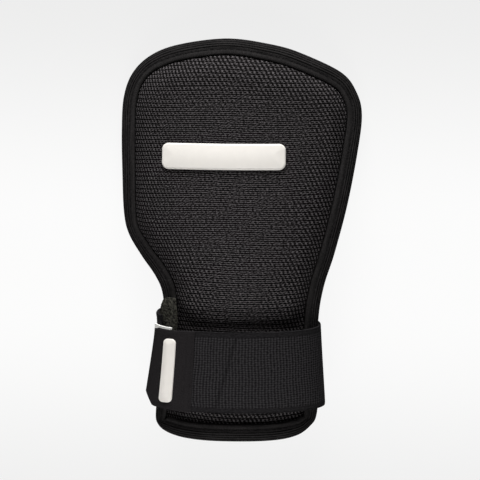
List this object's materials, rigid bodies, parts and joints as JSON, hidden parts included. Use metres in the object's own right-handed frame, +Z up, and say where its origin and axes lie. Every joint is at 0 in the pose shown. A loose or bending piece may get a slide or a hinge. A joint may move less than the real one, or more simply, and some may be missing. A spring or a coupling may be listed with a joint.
{
  "type": "batting hand protector",
  "caption": "Curved foam shield for the back of a batter's hand and wrist, mesh covered and bound round its edge, with an elastic hook-and-loop wrist strap.",
  "frame": {"origin": "middle of the footprint, on the surface that the guard lies on", "axes": "+X to the little finger's side, +Y along the guard to the fingers, +Z up out of the shield's face"},
  "size_m": [0.1137, 0.1869, 0.0452],
  "materials": {
    "knit_mesh": "coarse black polyester mesh over foam",
    "binding_tape": "finely ribbed black binding tape",
    "brushed_loop": "soft brushed black loop cloth",
    "woven_elastic": "black woven elastic",
    "tab_facing": "smooth black laminated cloth",
    "hook_tape": "white nylon hook tape",
    "badge_rubber": "pale satin moulded rubber"
  },
  "bodies": {
    "root": {"shield_pad": "knit_mesh", "edge_binding": "binding_tape", "cuff_wing": "brushed_loop", "wrist_strap": "woven_elastic", "strap_tab": "tab_facing", "hook_patch": "hook_tape", "shield_badge": "badge_rubber", "tab_badge": "badge_rubber"}
  },
  "joints": []
}
